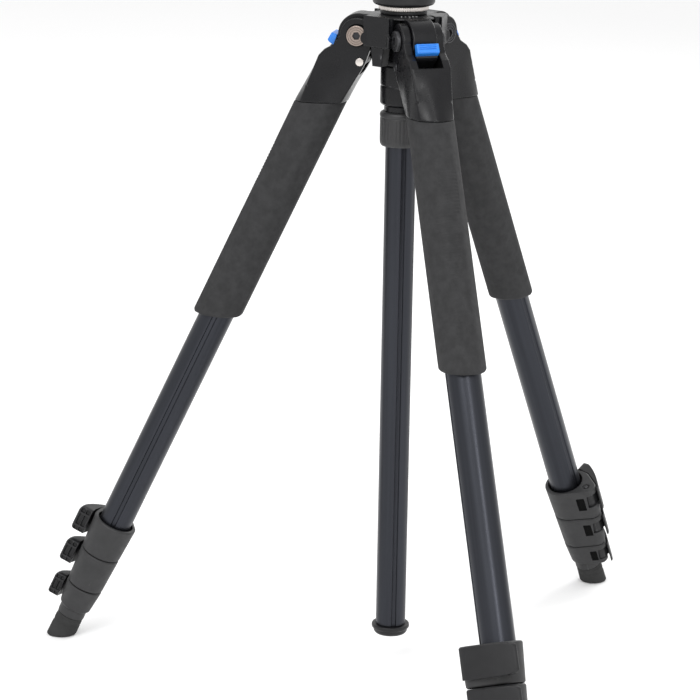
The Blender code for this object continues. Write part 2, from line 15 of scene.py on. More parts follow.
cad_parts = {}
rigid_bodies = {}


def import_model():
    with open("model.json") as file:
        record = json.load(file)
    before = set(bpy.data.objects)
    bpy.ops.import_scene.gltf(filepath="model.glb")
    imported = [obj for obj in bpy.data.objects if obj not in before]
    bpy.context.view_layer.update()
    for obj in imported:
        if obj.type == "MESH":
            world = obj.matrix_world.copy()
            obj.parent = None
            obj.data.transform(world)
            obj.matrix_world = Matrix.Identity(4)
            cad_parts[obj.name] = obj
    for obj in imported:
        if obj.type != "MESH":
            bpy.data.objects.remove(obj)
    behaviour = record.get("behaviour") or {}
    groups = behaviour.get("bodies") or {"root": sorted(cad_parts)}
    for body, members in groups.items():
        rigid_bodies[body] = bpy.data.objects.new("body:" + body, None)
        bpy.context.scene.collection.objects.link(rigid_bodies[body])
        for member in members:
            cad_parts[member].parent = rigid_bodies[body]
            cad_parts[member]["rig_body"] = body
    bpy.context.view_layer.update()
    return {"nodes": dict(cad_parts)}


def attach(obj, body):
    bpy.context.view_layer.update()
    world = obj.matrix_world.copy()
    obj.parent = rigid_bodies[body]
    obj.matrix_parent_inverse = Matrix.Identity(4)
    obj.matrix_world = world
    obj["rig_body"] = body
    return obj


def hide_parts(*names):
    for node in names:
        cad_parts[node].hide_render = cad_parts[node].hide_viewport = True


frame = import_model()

MM = 0.001

# Camera at the photograph's view, in metres
CAMERA_PLACE = Vector((-0.6507, -1.7425, 0.7530))
CAMERA_YAW = math.radians(18.798)
CAMERA_PITCH = math.radians(14.772)
CAMERA_ROLL = math.radians(0.987)
CAMERA_LENS = 137.4
SENSOR = 36.0

# Stance
LEG_AZIMUTHS = {"left": 150.0, "front": 270.0, "right": 30.0}
LEG_ANGLE = math.radians(25.1)
COLUMN_Y = 62.4
HINGE_HEIGHT = 482.7
HINGE_RADIUS = 31.0
HINGE_TO_FOOT = 535.2
TUBE_OFFSET = 4.6

# Fits
GAP = 0.3
WALL = 1.2
ROUND = 96

# Leg sections, upper to lower
TUBE_RADII = (12.5, 11.0, 9.5, 8.0)
TUBE_TOPS = (494.4, 478.4, 471.4, 464.4)
GROOVE_ANGLES = (95.0, 265.0)
GROOVE_WIDTH = 3.2
GROOVE_DEPTH = 0.9
LOCK_TOPS = (106.3, 77.2, 46.8)
LOCK_LOWEST = 19.4
LOCK_RADII = (17.0, 15.6, 14.3, 12.4)
LOCK_SCALES = (1.0, 0.94, 0.82, 0.74)
LOCK_COLLAR = 10.6
LEVER_HEIGHTS = (22.0, 20.3, 19.5)
LEVER_DROP = 1.0
CAM_MARGIN = 0.24

# Lever lock in plan, at the size of the upper lock
LEVER_PIN = Vector((0.5, -20.5))
LEVER_PIN_RADIUS = 1.6
CAM_RADIUS = 5.5
CAM_ARM = Vector((7.2, -2.0))
CAM_SWING = (Vector((0.0, 0.0)), Vector((20.0, -4.0)), Vector((-2.0, -18.0)))
NOSE_RADIUS = 8.0
NOSE_SHOULDER = (8.5, -8.5, 8.0)
LEVER_BACK_RADIUS = 10.1
LEVER_BULGE = Vector((22.4, -15.0))
LEVER_FACE = 29.5
LEVER_END_Y = 2.5
LEVER_TAB = 10.6

# Foot
FOOT_TOP_RADIUS = 10.3
FOOT_SOLE_RADIUS = 10.6

# Grip
GRIP_BOTTOM = 294.4
GRIP_TOP_OUTER = 468.9
GRIP_TOP_INNER = 485.9
GRIP_FLOOR_SLOPE = 0.34
GRIP_DEPTH = 17.8
GRIP_WIDTH = 16.6
RIB_PITCH = 2.6
RIB_DEPTH = 0.35

# Yoke
SOCKET_BOTTOM = 460.4
SOCKET_TOP = 467.5
TAPER_BOTTOM = 466.0
EAR_FOOT = 509.0
EAR_FRONT = 14.5
EAR_BACK = 17.9
EAR_CORNER_RADIUS = 23.0
EAR_RADIUS = 12.4
EAR_OUTER = 15.0
SLOT_HALF = 9.2
SLOT_FLOOR = 509.4
BOLT_RADIUS = 4.0
BOLT_HEAD = 7.4
BOLT_HEAD_THICKNESS = 2.6
LATCH_PIVOT = Vector((-14.8, 518.9))
LATCH_PIN_RADIUS = 1.5
LATCH_PIN_HEAD = 2.9
LATCH_HALF = 8.2

# Shoulder
SHOULDER_TOP = 498.2
SHOULDER_BOTTOM = 461.5
BLOCK_BOTTOM = 476.2
SKIRT_BOTTOM = 459.9
DRUM_RADIUS = 15.2
DRUM_HALF = 8.8
CORE_RADIUS = 16.2
BLOCK_REACH = 30.0
BLOCK_HALF = 12.3
EAR_CLEAR = 16.7
HEAD_CLEAR = 22.6
WEB_BOTTOM = 472.7
BOSS_RADIUS = 4.8
BOSS_SPAN = (18.5, 21.4)
BOSS_PLACE = (22.6, 481.9)
TICK_START = 18.6
TICK_AZIMUTH = 262.0

# Centre column
COLUMN_RADIUS = 11.25
COLUMN_BOTTOM = 33.3
COLUMN_TOP = 500.8
COLUMN_GROOVE_AZIMUTH = 263.0
SLEEVE_RADIUS = 15.8
SPIGOT_RADIUS = 12.8
SLEEVE_BOTTOM = 431.2
SPIGOT_BOTTOM = 415.2
COLLAR_TOP = 427.4
COLLAR_BOTTOM = 402.2
CAP_FLANGE = 14.3
CAP_BOTTOM = 25.8
PLATFORM_RADIUS = 22.5
PLATFORM_BOTTOM = 504.7
PLATFORM_TOP = 513.8
PAD_TOP = 515.3
RING_RADIUS = 18.1
STUD_RADIUS = 4.76
STUD_TOP = 526.2
STUD_PITCH = 1.5875


# ---------------------------------------------------------------- mesh helpers

def from_bmesh(shape):
    mesh = bpy.data.meshes.new("shape")
    shape.to_mesh(mesh)
    shape.free()
    return mesh


def baked(obj):
    """The evaluated mesh of a working object, which is then removed."""
    bpy.context.view_layer.update()
    graph = bpy.context.evaluated_depsgraph_get()
    mesh = bpy.data.meshes.new_from_object(obj.evaluated_get(graph))
    bpy.data.objects.remove(obj)
    return mesh


def work_object(mesh):
    obj = bpy.data.objects.new("work", mesh)
    bpy.context.scene.collection.objects.link(obj)
    return obj


def arc(centre, radius, start, end, pieces):
    """Points along an arc, in degrees, ends included."""
    angles = [math.radians(start + (end - start) * i / pieces) for i in range(pieces + 1)]
    return [(centre[0] + radius * math.cos(a), centre[1] + radius * math.sin(a)) for a in angles]


def bend(start, control, end, pieces):
    """Points along a parabola, ends included."""
    places = [i / pieces for i in range(pieces + 1)]
    return [tuple(start * (1 - t) ** 2 + control * 2 * t * (1 - t) + end * t * t) for t in places]


def rounded(points, radius, steps=3, closed=True):
    """A polyline with its corners replaced by short curves."""
    count = len(points)
    result = []
    for i, point in enumerate(points):
        here = Vector(point)
        if not closed and i in (0, count - 1):
            result.append(tuple(here))
            continue
        before = Vector(points[i - 1]) - here
        after = Vector(points[(i + 1) % count]) - here
        cut_before = min(radius, before.length * 0.45)
        cut_after = min(radius, after.length * 0.45)
        start = here + before.normalized() * cut_before
        end = here + after.normalized() * cut_after
        result += bend(start, here, end, steps)
    return result


def loft(rings, closed):
    """Quads between rings of as many points each. A ring of one point is a pole."""
    shape = bmesh.new()
    made = [[shape.verts.new(point) for point in ring] for ring in rings]
    pairs = list(zip(made, made[1:])) + ([(made[-1], made[0])] if closed else [])
    for first, second in pairs:
        count = max(len(first), len(second))
        for i in range(count):
            j = (i + 1) % count
            corners = []
            for ring, place in ((first, i), (first, j), (second, j), (second, i)):
                vertex = ring[place % len(ring)] if len(ring) > 1 else ring[0]
                if vertex not in corners:
                    corners.append(vertex)
            shape.faces.new(corners)
    bmesh.ops.recalc_face_normals(shape, faces=shape.faces)
    return from_bmesh(shape)


def lathe(profile, sides=ROUND, wobble=None):
    """A profile of (radius, height) points turned about Z; wobble(angle, r, z) changes the radius."""
    on_axis = profile[0][0] < 1e-6
    rings = []
    for radius, height in profile:
        if radius < 1e-6:
            rings.append([(0.0, 0.0, height)])
            continue
        ring = []
        for i in range(sides):
            angle = 2 * math.pi * i / sides
            r = radius + (wobble(angle, radius, height) if wobble else 0.0)
            ring.append((r * math.cos(angle), r * math.sin(angle), height))
        rings.append(ring)
    return loft(rings, not on_axis)


def prism(outline, low, high):
    """A flat outline in XY made solid between two heights."""
    shape = bmesh.new()
    bottom = [shape.verts.new((x, y, low)) for x, y in outline]
    top = [shape.verts.new((x, y, high)) for x, y in outline]
    shape.faces.new(bottom[::-1])
    shape.faces.new(top)
    for i in range(len(outline)):
        j = (i + 1) % len(outline)
        shape.faces.new((bottom[i], bottom[j], top[j], top[i]))
    bmesh.ops.recalc_face_normals(shape, faces=shape.faces)
    return from_bmesh(shape)


def side_prism(outline, low, high):
    """An outline in XZ made solid along Y."""
    mesh = prism(outline, low, high)
    mesh.transform(Matrix(((1, 0, 0, 0), (0, 0, 1, 0), (0, 1, 0, 0), (0, 0, 0, 1))))
    mesh.flip_normals()
    return mesh


def front_prism(outline, low, high):
    """An outline in YZ made solid along X."""
    mesh = prism(outline, low, high)
    mesh.transform(Matrix(((0, 0, 1, 0), (1, 0, 0, 0), (0, 1, 0, 0), (0, 0, 0, 1))))
    return mesh


def box(low, high):
    corners = [(low[0], low[1]), (high[0], low[1]), (high[0], high[1]), (low[0], high[1])]
    return prism(corners, low[2], high[2])


def rod(radius, low, high, centre=(0.0, 0.0), sides=48, top_radius=None):
    top = radius if top_radius is None else top_radius
    mesh = lathe([(0.0, low), (radius, low), (top, high), (0.0, high)], sides)
    mesh.transform(Matrix.Translation((centre[0], centre[1], 0.0)))
    return mesh


def across(mesh, centre):
    """Turn a shape made along Z so that it runs along Y, through a point (x, z)."""
    turn = Matrix.Rotation(-math.pi / 2, 4, "X")
    mesh.transform(Matrix.Translation((centre[0], 0, centre[1])) @ turn)
    return mesh


def hull(meshes):
    shape = bmesh.new()
    for mesh in meshes:
        shape.from_mesh(mesh)
    bmesh.ops.delete(shape, geom=shape.edges[:], context="EDGES_FACES")
    made = bmesh.ops.convex_hull(shape, input=shape.verts)
    spare = {item for item in made["geom_interior"] + made["geom_unused"]
             if isinstance(item, bmesh.types.BMVert)}
    bmesh.ops.delete(shape, geom=list(spare), context="VERTS")
    bmesh.ops.recalc_face_normals(shape, faces=shape.faces)
    return from_bmesh(shape)


def boolean(mesh, others, operation):
    obj = work_object(mesh)
    tools = [work_object(other) for other in others]
    for tool in tools:
        step = obj.modifiers.new(operation.title(), "BOOLEAN")
        step.operation = operation
        step.solver = "EXACT"
        step.object = tool
    result = baked(obj)
    for tool in tools:
        bpy.data.objects.remove(tool)
    return result


def cut(mesh, *cutters):
    return boolean(mesh, cutters, "DIFFERENCE")


def join(mesh, *others):
    return boolean(mesh, others, "UNION")


def softened(mesh, voxel=0.35, passes=6, keep=0.3):
    """A casting's soft edges: the shape remade in small cells, smoothed and thinned out."""
    obj = work_object(mesh)
    cells = obj.modifiers.new("Cells", "REMESH")
    cells.mode = "VOXEL"
    cells.voxel_size = voxel
    smooth = obj.modifiers.new("Smooth", "SMOOTH")
    smooth.factor = 0.5
    smooth.iterations = passes
    thin = obj.modifiers.new("Thin", "DECIMATE")
    thin.ratio = keep
    result = baked(obj)
    result.shade_smooth()
    return result


def eased(points, radius):
    """An outline of four points whose first two corners are rounded."""
    soft = rounded(points, radius, 8)
    return soft[:18] + [points[2], points[3]]


def merged_keeping(first, second, index):
    """Two shapes as one mesh; the first keeps its material indices and the second gets its own."""
    shape = bmesh.new()
    shape.from_mesh(first)
    count = len(shape.faces)
    shape.from_mesh(second)
    shape.faces.ensure_lookup_table()
    for face in shape.faces[count:]:
        face.material_index = index
    return from_bmesh(shape)


def merged(*meshes):
    """Several shapes as one mesh, each with its own material index."""
    shape = bmesh.new()
    for index, mesh in meshes:
        first = len(shape.faces)
        shape.from_mesh(mesh)
        shape.faces.ensure_lookup_table()
        for face in shape.faces[first:]:
            face.material_index = index
    return from_bmesh(shape)


# ---------------------------------------------------------------- materials

def add_node(tree, kind, **values):
    node = tree.nodes.new(kind)
    for name, value in values.items():
        setattr(node, name, value)
    return node


def noise(tree, coordinates, scale, detail, stretch=(1, 1, 1)):
    mapping = add_node(tree, "ShaderNodeMapping")
    mapping.inputs["Scale"].default_value = stretch
    texture = add_node(tree, "ShaderNodeTexNoise")
    texture.inputs["Scale"].default_value = scale
    texture.inputs["Detail"].default_value = detail
    tree.links.new(coordinates, mapping.inputs["Vector"])
    tree.links.new(mapping.outputs["Vector"], texture.inputs["Vector"])
    return texture.outputs["Fac"]


def in_range(tree, value, low, high, to_low, to_high):
    node = add_node(tree, "ShaderNodeMapRange")
    for socket, number in (("From Min", low), ("From Max", high), ("To Min", to_low), ("To Max", to_high)):
        node.inputs[socket].default_value = number
    tree.links.new(value, node.inputs["Value"])
    return node.outputs["Result"]


def blended(tree, factor, first, second):
    node = add_node(tree, "ShaderNodeMix", data_type="RGBA")
    tree.links.new(factor, node.inputs["Factor"])
    for socket, colour in ((node.inputs[6], first), (node.inputs[7], second)):
        if isinstance(colour, tuple):
            socket.default_value = (*colour, 1.0)
        else:
            tree.links.new(colour, socket)
    return node.outputs[2]


def finish_of(name, colour, roughness, metallic=0.0, specular=0.5, vary=0.12, patch=90.0, stretch=(1, 1, 1),
              grain=1800.0, grain_height=0.00003, wear=0.0, worn=(0.35, 0.35, 0.36)):
    """A moulded, painted, anodised or rubber surface: patchy colour, uneven gloss, grain and worn edges."""
    material = bpy.data.materials.new(name)
    material.use_nodes = True
    tree = material.node_tree
    shader = tree.nodes["Principled BSDF"]
    coordinates = add_node(tree, "ShaderNodeTexCoord").outputs["Object"]
    patches = noise(tree, coordinates, patch, 4.0, stretch)
    dark = tuple(part * (1 - vary) for part in colour)
    light = tuple(part * (1 + vary) for part in colour)
    base = blended(tree, in_range(tree, patches, 0.35, 0.65, 0.0, 1.0), dark, light)
    if wear:
        geometry = add_node(tree, "ShaderNodeNewGeometry")
        edges = in_range(tree, geometry.outputs["Pointiness"], 0.53, 0.62, 0.0, 1.0)
        broken = in_range(tree, noise(tree, coordinates, 700.0, 3.0), 0.42, 0.62, 0.0, wear)
        product = add_node(tree, "ShaderNodeMath", operation="MULTIPLY")
        tree.links.new(edges, product.inputs[0])
        tree.links.new(broken, product.inputs[1])
        base = blended(tree, product.outputs["Value"], base, worn)
    tree.links.new(base, shader.inputs["Base Color"])
    rub = noise(tree, coordinates, patch * 2.3, 5.0, stretch)
    gloss = in_range(tree, rub, 0.3, 0.7, roughness - 0.06, roughness + 0.06)
    tree.links.new(gloss, shader.inputs["Roughness"])
    shader.inputs["Metallic"].default_value = metallic
    shader.inputs["Specular IOR Level"].default_value = specular
    bump = add_node(tree, "ShaderNodeBump")
    bump.inputs["Strength"].default_value = 0.6
    bump.inputs["Distance"].default_value = grain_height
    tree.links.new(noise(tree, coordinates, grain, 3.0, stretch), bump.inputs["Height"])
    tree.links.new(bump.outputs["Normal"], shader.inputs["Normal"])
    return material


LENGTHWISE = (1.0, 1.0, 0.02)
FINISHES = {
    "casting": finish_of("casting", (0.0045, 0.0045, 0.0055), 0.30, specular=0.26, wear=0.25),
    "anodised": finish_of("anodised", (0.033, 0.035, 0.042), 0.34, metallic=0.85, stretch=LENGTHWISE,
                          patch=260.0, vary=0.10, grain=3200.0, grain_height=0.000012),
    "housing": finish_of("housing", (0.021, 0.021, 0.022), 0.55, specular=0.4, grain=2600.0, wear=0.12),
    "lever": finish_of("lever", (0.009, 0.009, 0.010), 0.42, specular=0.33, grain=2600.0, wear=0.12),
    # A near-black finish laid on the faces of slots and recesses: painted shade.
    "painted_shade": finish_of("painted_shade", (0.002, 0.002, 0.002), 0.75, specular=0.08),
    "black_plastic": finish_of("black_plastic", (0.008, 0.008, 0.009), 0.42, specular=0.35,
                               grain=2600.0, wear=0.1),
    "collar_plastic": finish_of("collar_plastic", (0.020, 0.020, 0.021), 0.50, grain=2600.0, wear=0.1),
    "rubber_grip": finish_of("rubber_grip", (0.026, 0.026, 0.027), 0.80, specular=0.25, patch=150.0,
                             vary=0.14, grain=2200.0, grain_height=0.00007),
    "rubber_foot": finish_of("rubber_foot", (0.028, 0.028, 0.028), 0.85, specular=0.25,
                             grain=1500.0, grain_height=0.00008),
    "blue_plastic": finish_of("blue_plastic", (0.020, 0.180, 0.620), 0.30, grain=2400.0, vary=0.06),
    "bright_ring": finish_of("bright_ring", (0.62, 0.58, 0.55), 0.30, metallic=1.0, vary=0.05, wear=0.1),
    "steel": finish_of("steel", (0.30, 0.245, 0.215), 0.34, metallic=1.0, vary=0.08),
    # Dark steel for the lever axles and the pins' darkened faces; inside the bolt sockets, on the walls of
    # the turned rings and on the head sides sunk in the ears' counterbores it is painted shade.
    "dark_steel_and_painted_shade": finish_of("dark_steel_and_painted_shade", (0.030, 0.030, 0.033), 0.35, metallic=0.6, wear=0.2),
    "tick_paint": finish_of("tick_paint", (0.55, 0.55, 0.55), 0.6),
}


# ---------------------------------------------------------------- shapes of a leg

def hinge_centre():
    return (-TUBE_OFFSET, HINGE_TO_FOOT)


def tube(radius, low, high, grooves):
    """A tube with soft lengthwise grooves and broken edges at its ends."""
    half = GROOVE_WIDTH / 2

    def outer(angle):
        depth = 0.0
        for groove in grooves:
            away = abs((math.degrees(angle) - groove + 180.0) % 360.0 - 180.0)
            distance = math.radians(away) * radius
            depth = max(depth, GROOVE_DEPTH * min(1.0, max(0.0, (half + 0.15 - distance) / 0.3)))
        return radius - depth

    edge = 0.35
    count = 288
    rings = []
    for inwards, height in ((WALL, low), (edge, low), (0.0, low + edge),
                            (0.0, high - edge), (edge, high), (WALL, high)):
        ring = []
        for i in range(count):
            angle = 2 * math.pi * i / count
            r = radius - WALL if inwards == WALL else outer(angle) - inwards
            ring.append((r * math.cos(angle), r * math.sin(angle), height))
        rings.append(ring)
    return loft(rings, True)


def leg_tube(index):
    if index < 3:
        low, high = lock_span(index)
        bottom = (low + high) / 2 + GAP
    else:
        bottom = LOCK_LOWEST + GAP
    return tube(TUBE_RADII[index], bottom, TUBE_TOPS[index], GROOVE_ANGLES)


def ramp(value, width):
    return min(1.0, max(0.0, value / width))


def rib_mask(angle, height):
    """How far a point of the grip lies inside the ribbed panels, from 0 to 1. Angle in degrees."""
    per_degree = math.radians(1.0) * GRIP_DEPTH

    def panel(left, right, bottom, top):
        return min((angle - left) * per_degree, (right - angle) * per_degree, height - bottom, top - height)

    upper_left = -21.0 + 13.0 * ramp(425.0 - height, 12.0)
    upper = panel(upper_left, 29.0, 405.4, 435.4)
    narrowing = ramp(380.4 - height, 35.4)
    lower = panel(-43.0 + 28.0 * narrowing + 10.0 * ramp(392.0 - height, 6.0) * (1.0 - narrowing),
                  17.0 - 32.0 * narrowing, 345.0, 402.8)
    sweep = -14.0 + 0.9 * (height - 402.0)
    link = panel(sweep, sweep + 34.0, 402.0, 406.0)
    return ramp(max(upper, lower, link), 0.6)


def raised_bars(angle, height):
    """Five plain bars where the photograph has raised lettering."""
    per_degree = math.radians(1.0) * GRIP_DEPTH
    across_bar = 4.0 - abs(angle + 11.0) * per_degree
    pitch = 7.6
    along = (height - 303.4) % pitch
    if not 303.4 < height < 341.0:
        return 0.0
    return 0.3 * ramp(min(across_bar, along, pitch - 2.4 - along), 0.5)


def grip_floor(x):
    """The grip's lower end, which lies a little slanted, higher on the inner side."""
    return GRIP_BOTTOM + 1.2 - GRIP_FLOOR_SLOPE * x


def grip_ceiling(x):
    """The grip's upper end, slanted the same way and half a gap below the yoke."""
    slope = (GRIP_TOP_INNER - GRIP_TOP_OUTER) / (2 * GRIP_DEPTH)
    return (GRIP_TOP_OUTER + GRIP_TOP_INNER) / 2 - x * slope - GAP / 2


def grip():
    """A rubber sleeve, eight-sided with soft corners, ribbed where the hand holds it."""
    inner = TUBE_RADII[0] + GAP
    count, rows = 200, 430

    def facet(angle):
        turn = math.radians((math.degrees(angle) + 22.5) % 45.0 - 22.5)
        flat, corner = 0.975 / math.cos(turn), 1.0
        return (flat ** -40 + corner ** -40) ** (-1.0 / 40)

    rings = []
    for row in range(rows + 1):
        share = row / rows
        ring = []
        for i in range(count):
            angle = 2 * math.pi * i / count
            size = facet(angle)
            x, y = GRIP_DEPTH * size * math.cos(angle), GRIP_WIDTH * size * math.sin(angle)
            low, top = grip_floor(x), grip_ceiling(x)
            height = low + (top - low) * share
            degrees = math.degrees(angle) - (360.0 if angle > math.pi else 0.0)
            rib = RIB_DEPTH * (0.5 - 0.5 * math.cos(2 * math.pi * height / RIB_PITCH))
            change = raised_bars(degrees, height) - rib * rib_mask(degrees, height)
            change -= 1.3 * (1.0 - ramp(height - low, 2.2)) ** 1.6
            change -= 0.4 * (1.0 - ramp(top - height, 0.9)) ** 2
            factor = 1.0 + change / math.hypot(x, y)
            ring.append((x * factor, y * factor, height))
        rings.append(ring)
    bore = [(inner * math.cos(2 * math.pi * i / count), inner * math.sin(2 * math.pi * i / count))
            for i in range(count)]
    bottom = [(x, y, grip_floor(x)) for x, y in bore]
    top = [(x, y, grip_ceiling(x)) for x, y in bore]
    return loft([bottom] + rings + [top], True)


def below_seam():
    """A block up to the slanted seam between the grip and the yoke."""
    slope = math.atan2(GRIP_TOP_INNER - GRIP_TOP_OUTER, 2 * GRIP_DEPTH)
    block = box((-50, -50, -50.0), (50, 50, GAP / 2))
    middle = (GRIP_TOP_INNER + GRIP_TOP_OUTER) / 2
    block.transform(Matrix.Translation((0, 0, middle)) @ Matrix.Rotation(slope, 4, "Y"))
    return block


def ear_taper(outline):
    """A straight taper from the socket's outline to the cut-cornered rectangle under the ears."""
    steps = 12
    rise = EAR_FOOT - TAPER_BOTTOM
    inside_ears = EAR_FOOT + 2.0
    levels = [(TAPER_BOTTOM + rise * i / steps, i / steps, EAR_FRONT) for i in range(steps + 1)]
    levels.append((inside_ears, 1.0, 13.8))
    rings = [[(0.0, 0.0, TAPER_BOTTOM)]]
    for z, share, front in levels:
        ring = []
        for x, y in outline:
            reach = min((front if x > 0 else EAR_BACK) / max(abs(x), 1e-6),
                        EAR_OUTER / max(abs(y), 1e-6), EAR_CORNER_RADIUS / math.hypot(x, y))
            scale = 1.0 + share * (reach - 1.0)
            ring.append((x * scale, y * scale, z))
        rings.append(ring)
    rings.append([(0.0, 0.0, inside_ears)])
    return loft(rings, False)


def yoke():
    """Two ears over a tapered socket, with a latch slot between them and a small hole on each side."""
    centre = hinge_centre()
    side = [(-18.0, EAR_FOOT), (-18.4, 513.4), (-18.6, 519.9)]
    side += arc(centre, EAR_RADIUS, 178.0, -28.0, 24)
    side += [(7.7, 521.9), (12.5, 515.2), (EAR_FRONT, EAR_FOOT)]
    ears = side_prism(side, -EAR_OUTER, EAR_OUTER)
    cone = rod(17.2, 460.0, 560.0, sides=ROUND, top_radius=29.0)
    circle = arc((0, 0), 1.0, 0, 360 * 95 / 96, 95)
    outline = [(GRIP_DEPTH * 0.99 * x, GRIP_WIDTH * 0.99 * y) for x, y in circle]
    socket = prism(outline, SOCKET_BOTTOM, SOCKET_TOP)
    slot = box((-30, -SLOT_HALF, SLOT_FLOOR), (30, SLOT_HALF, 580))
    bore = rod(TUBE_RADII[0] + GAP, 440, TUBE_TOPS[0] + GAP)
    bolt = across(rod(BOLT_RADIUS + GAP, -30, 30), centre)
    pin = across(rod(LATCH_PIN_RADIUS + GAP, -30, 30), LATCH_PIVOT)
    counterbores = [across(rod(BOLT_HEAD + 0.5, low, high), centre)
                    for low, high in ((14.5, 20), (-20, -14.5))]
    recesses = []
    for y in (-1, 1):
        hole = rod(1.9, -1.2, 4.0)
        hole.transform(Matrix.Translation((13.6, y * 14.0, 484.0)) @ Matrix.Rotation(-y * 0.95, 4, "X")
                       @ Matrix.Rotation(0.45, 4, "Y"))
        recesses.append(hole)
    body = join(boolean(ears, [cone], "INTERSECT"), socket, ear_taper(outline))
    body = cut(body, slot, bore, bolt, pin, below_seam(), *counterbores, *recesses)
    body = softened(body, 0.4, 10)
    # The walls and floor of the latch slot between the ears take the near-black finish: painted shade.
    for polygon in body.polygons:
        x, y, z = polygon.center
        in_slot = abs(y) < SLOT_HALF + 0.3 and SLOT_FLOOR - 0.6 < z < 524.0
        polygon.material_index = 1 if in_slot else 0
    return body


def through_pin(radius, head_radius, head_thickness, centre, rings=0, socket=0.0):
    """A pin across both ears. Its clockwise head is darkened, and the sides of its heads, the walls of
    their turned rings and the six-sided socket are painted dark as shade; a hinge bolt's heads have turned
    rings.
    """
    face = EAR_OUTER + GAP
    end = face + head_thickness
    edge = min(0.6, head_thickness * 0.35)
    head = [(head_radius, face), (head_radius, end - edge), (head_radius - edge * 0.3, end - edge * 0.3),
            (head_radius - edge, end)]
    step = (head_radius - edge - socket - 0.6) / max(rings, 1)
    for ring in range(rings):
        r = head_radius - edge - step * (ring + 0.35)
        head += [(r, end), (r - 0.1, end - 0.5), (r - 0.45, end - 0.5), (r - 0.55, end)]
    if socket:
        head += [(socket, end), (socket, end - 1.4), (0.0, end - 1.4)]
    else:
        head += [(0.0, end)]
    mirrored = [(0.0, -head[-1][1])] + [(r, -h) for r, h in reversed(head[:-1])]
    profile = mirrored + [(radius, -face), (radius, face)] + head

    def six_sided(angle, r, height):
        if not socket or r > socket + 1e-6:
            return 0.0
        turn = (angle + math.pi / 6) % (math.pi / 3) - math.pi / 6
        return r * (0.88 / math.cos(turn) - 1.0)

    mesh = across(lathe(profile, 96, six_sided), centre)
    for polygon in mesh.polygons:
        away = math.hypot(polygon.center.x - centre[0], polygon.center.z - centre[1])
        # Faces that do not look along the pin (head sides in the counterbores, walls of the turned rings)
        # and faces inside the socket take the dark finish: painted shade.
        dark = polygon.center.y < -EAR_OUTER or abs(polygon.normal.y) < 0.5 or away < socket
        polygon.material_index = 1 if dark else 0
    return mesh


def latch():
    """The pawl: black arm and boss, and a blue thumb tip with three fine ribs."""
    px, pz = LATCH_PIVOT
    arm = arc((px, pz), 3.6, 250.0, 60.0, 16)
    arm += [(-4.6, 518.8), (2.3, 520.0), (6.9, 523.0), (8.5, 525.2), (9.5, 525.0), (9.5, 518.4),
            (7.3, 517.0), (-4.6, 514.0)]
    body = side_prism(arm, -LATCH_HALF + 0.2, LATCH_HALF - 0.2)
    body = cut(body, across(rod(LATCH_PIN_RADIUS + GAP, -20, 20), (px, pz)))
    tip = [(9.3, 527.7), (13.7, 527.4), (14.2, 521.2), (12.8, 520.2), (8.6, 519.4)]
    tip = side_prism(rounded(tip, 0.7), -LATCH_HALF, LATCH_HALF)
    grooves = [box((6, -6.5, 523.2 + 1.4 * i), (20, 6.5, 523.7 + 1.4 * i)) for i in range(3)]
    keep = box((13.2, -10, 510), (20, 10, 530))
    grooves = [boolean(groove, [keep], "INTERSECT") for groove in grooves]
    tip = softened(cut(tip, *grooves), 0.2, 3, 0.5)
    return merged((0, softened(body, 0.3, 4)), (1, tip))


def lock_span(index):
    floor = LOCK_TOPS[index + 1] if index < 2 else LOCK_LOWEST
    return floor + GAP, LOCK_TOPS[index]


def lever_span(index):
    high = LOCK_TOPS[index] - LEVER_DROP
    return high - LEVER_HEIGHTS[index], high


def cam_span(index):
    top, height = LOCK_TOPS[index], LEVER_HEIGHTS[index]
    return top - height * (1.0 - CAM_MARGIN), top - height * CAM_MARGIN


def lock_slice(index, low, high, inset=0.0):
    scale = LOCK_SCALES[index]
    x, y, radius = NOSE_SHOULDER
    return [
        rod(LOCK_RADII[index] - inset, low, high, sides=ROUND),
        rod(NOSE_RADIUS * scale - inset, low, high, LEVER_PIN * scale),
        rod(radius * scale - inset, low, high, (x * scale, y * scale)),
    ]


